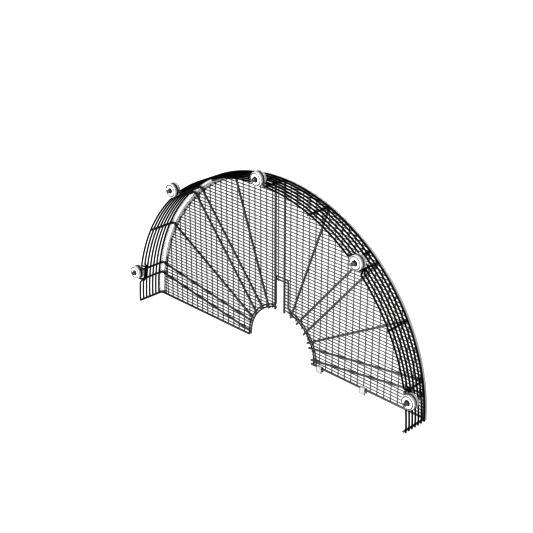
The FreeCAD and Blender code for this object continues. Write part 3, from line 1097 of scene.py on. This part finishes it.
grommet_corners = [
    (sleeve_r, front_y + recess_depth), (recess_r, front_y + recess_depth), (recess_r, front_y),
    (grommet_out_r, front_y), (grommet_out_r, loop_y - groove_half), (groove_r, loop_y - groove_half),
    (groove_r, loop_y + groove_half), (grommet_out_r, loop_y + groove_half), (grommet_out_r, rear_y),
    (sleeve_r, rear_y),
]
grommet_rounds = [
    0.1 * mm, small_round, small_round, rim_round, small_round, small_round,
    small_round, small_round, rim_round, 0.1 * mm,
]
corner_points = 7
face_rings = np.array([recess_r + 1.2 * mm, *(grommet_out_r - np.array([6.2, 4.8, 3.4]) * mm)])
face_points = np.stack([face_rings, np.full(len(face_rings), front_y)], axis=1)
grommet_outline = rounded_loop(grommet_corners, grommet_rounds, corner_points)
grommet_outline = np.insert(grommet_outline, 3 * corner_points, face_points, axis=0)
groove_end = grommet_out_r + 0.3 * mm
groove_fade = 1.0 * mm
recess_end = recess_r + 1.1 * mm
recess_fade = 0.5 * mm
ring_line_r = grommet_out_r - 3.0 * mm
ring_reach = 1.4 * mm
side_shade = 0.32


def painted_shade_along(outline):
    """Painted shade: the largest of four, (end - radius) / fade, kept between 0 and 1, in groove and recess,
    exp(-(distance / reach) squared) round the ring on the front, and one value on the sides."""
    radius, y = outline.T
    in_groove = np.clip((groove_end - radius) / groove_fade, 0.0, 1.0)
    in_groove *= np.abs(y - loop_y) < groove_half + small_round + 0.1 * mm
    in_recess = np.clip((recess_end - radius) / recess_fade, 0.0, 1.0) * (y < loop_y)
    on_ring = np.exp(-((radius - ring_line_r) / ring_reach) ** 2) * (y < front_y + rim_round)
    on_side = side_shade * (radius > grommet_out_r - 0.2 * mm)
    return np.max([in_groove, in_recess, on_ring, on_side], axis=0)


# Painted shade along the outline, the same on every grommet.
grime = np.tile(painted_shade_along(grommet_outline), grommet_sides)
for key in pairs:
    surface = turned(grommet_outline, sleeve_centre(key), grommet_sides)
    grommet = add_mesh("rubber_grommet_" + key, *surface, {"grime": grime})
    finished(grommet, grommet_white, "grommet_rubber", "grommet_" + key)
print("grommets:", len(pairs), "of", round(2 * grommet_out_r / mm, 1), "mm")

# %% [markdown]
# ## The sleeves
# A sleeve is a short steel tube that takes the screw's pull, so the rubber isn't crushed. It is turned
# too, with small chamfers outside and a bore painted bright, as painted light.

# %% Sleeves
bore_r = 3.3 * mm
sleeve_chamfer = 0.5 * mm
sleeve_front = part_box("sleeve_90")[0].y
sleeve_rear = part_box("sleeve_90")[1].y
sleeve_outline = rounded_loop(
    [
        (bore_r, sleeve_front),
        (sleeve_r - sleeve_chamfer, sleeve_front),
        (sleeve_r, sleeve_front + sleeve_chamfer),
        (sleeve_r, sleeve_rear - sleeve_chamfer),
        (sleeve_r - sleeve_chamfer, sleeve_rear),
        (bore_r, sleeve_rear),
    ],
    np.array([0.2, 0.15, 0.15, 0.15, 0.15, 0.2]) * mm,
    count=4,
)
sleeve_sides = 48
# The bore's surfaces get the painted light.
rubbed = np.tile(sleeve_outline[:, 0] < bore_r + 0.3 * mm, sleeve_sides)
for key in pairs:
    surface = turned(sleeve_outline, sleeve_centre(key), sleeve_sides)
    sleeve = add_mesh("spacer_sleeve_" + key, *surface, {"rubbed": rubbed})
    finished(sleeve, sleeve_zinc, "sleeve_steel", "sleeve_" + key)
print("sleeves:", len(pairs), "with a bore of", round(2 * bore_r / mm, 1), "mm")

# %% [markdown]
# ## White ground
# The picture is cut out on pure white, without a shadow. A floor and a dome that glow evenly give such a
# ground from every side. The guard's matt surfaces see neither of them, so its black stays black.

# %% Floor
floor_half = 12.0
floor_z = cad_box[0].z - 0.2 * mm
glow = 1.08
darkest, lightest = 0.045, 0.055
cloud_scale = 3.0
studio_white = Finish("studio_floor", Metallic=0.0, Roughness=0.9, Specular_IOR_Level=0.0)
clouds = studio_white.noise(studio_white.place(), cloud_scale)
studio_white.set(Base_Color=studio_white.grey(clouds, darkest, lightest), Emission_Strength=glow)


def glowing(name, points, faces):
    """A piece of the studio that glows and that matt surfaces don't see."""
    piece = add_mesh(name, points, faces)
    piece.data.materials.append(studio_white.material)
    piece.visible_diffuse = False
    return piece


corners = np.array([(-1, -1, 0), (1, -1, 0), (1, 1, 0), (-1, 1, 0)]) * floor_half + [0.0, 0.0, floor_z]
floor = glowing("studio_floor", corners, [np.array([[0, 1, 2, 3]])])
floor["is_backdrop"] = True
print("floor", 2 * floor_half, "m wide at", round(floor_z / mm, 1), "mm")

# %% [markdown]
# ## Backdrop
# The dome stands on the floor like a bowl turned over: rings of points and one more on top. It casts no
# shadow, so the lights outside still reach the guard.

# %% Backdrop
dome_radius = 11.5
dome_rings = 12
dome_sides = 48
rise = np.linspace(0.0, math.pi / 2, dome_rings + 1)[:-1, None]
heading = np.linspace(0.0, 2 * math.pi, dome_sides, endpoint=False)[None, :]
level = np.cos(rise)
points = np.stack([level * np.cos(heading), level * np.sin(heading), np.sin(rise) + 0 * heading], -1)
points = np.concatenate([points.reshape(-1, 3), [[0.0, 0.0, 1.0]]]) * dome_radius + [0.0, 0.0, floor_z]
last_ring = (dome_rings - 1) * dome_sides + np.arange(dome_sides)
cap = np.stack([last_ring, np.roll(last_ring, -1), np.full(dome_sides, len(points) - 1)], -1)
dome = glowing("studio_dome", points, [grid_quads(dome_rings, dome_sides), cap])
dome.visible_shadow = False
dome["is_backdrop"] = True
print("dome of", len(points), "points, radius", dome_radius, "m")

# %% [markdown]
# ## Light
# A soft key light from the front whitens what faces it and leaves the sides grey, as in the picture. A
# second one does the same for the back, a weak one comes from above, and an even white world fills in.
# The picture's thin wires are sharpened: a view gamma below 1 gives the same hard contrast.

# %% Light
world_light = 0.65
picture_gamma = 0.45
world = bpy.data.worlds.new("white_studio")
bpy.context.scene.world = world
world.use_nodes = True
sky = next(n for n in world.node_tree.nodes if n.type == "BACKGROUND")
sky.inputs["Color"].default_value = (1.0, 1.0, 1.0, 1.0)
sky.inputs["Strength"].default_value = world_light
view = bpy.context.scene.view_settings
view.view_transform = "Standard"
view.gamma = picture_gamma


def sun(name, towards, power, softness):
    """A broad distant light: it shines from the direction towards, with an angular width in degrees."""
    data = bpy.data.lights.new(name, "SUN")
    data.energy = power
    data.angle = math.radians(softness)
    light = bpy.data.objects.new(name, data)
    light.matrix_world = Vector(towards).to_track_quat("Z", "Y").to_matrix().to_4x4()
    bpy.context.scene.collection.objects.link(light)


sun("key_light", towards=(0.35, -0.93, 0.05), power=5.0, softness=30.0)
sun("back_light", towards=(-0.35, 0.93, 0.15), power=3.2, softness=40.0)
sun("top_light", towards=(-0.45, -0.35, 0.82), power=0.6, softness=50.0)
print("lights:", [light.name for light in bpy.data.lights])

# %% [markdown]
# ## The size
# The dressed model's box is measured, and the last print gives how far it reaches past the packed
# model's box at most, with the number of pieces.

# %% Sizes and finish
dressed_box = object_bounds()
worst = max(max(cad_box[0][i] - dressed_box[0][i], dressed_box[1][i] - cad_box[1][i]) for i in range(3))
print("pieces:", len(made), "furthest past the CAD box:", round(worst / mm, 3), "mm")
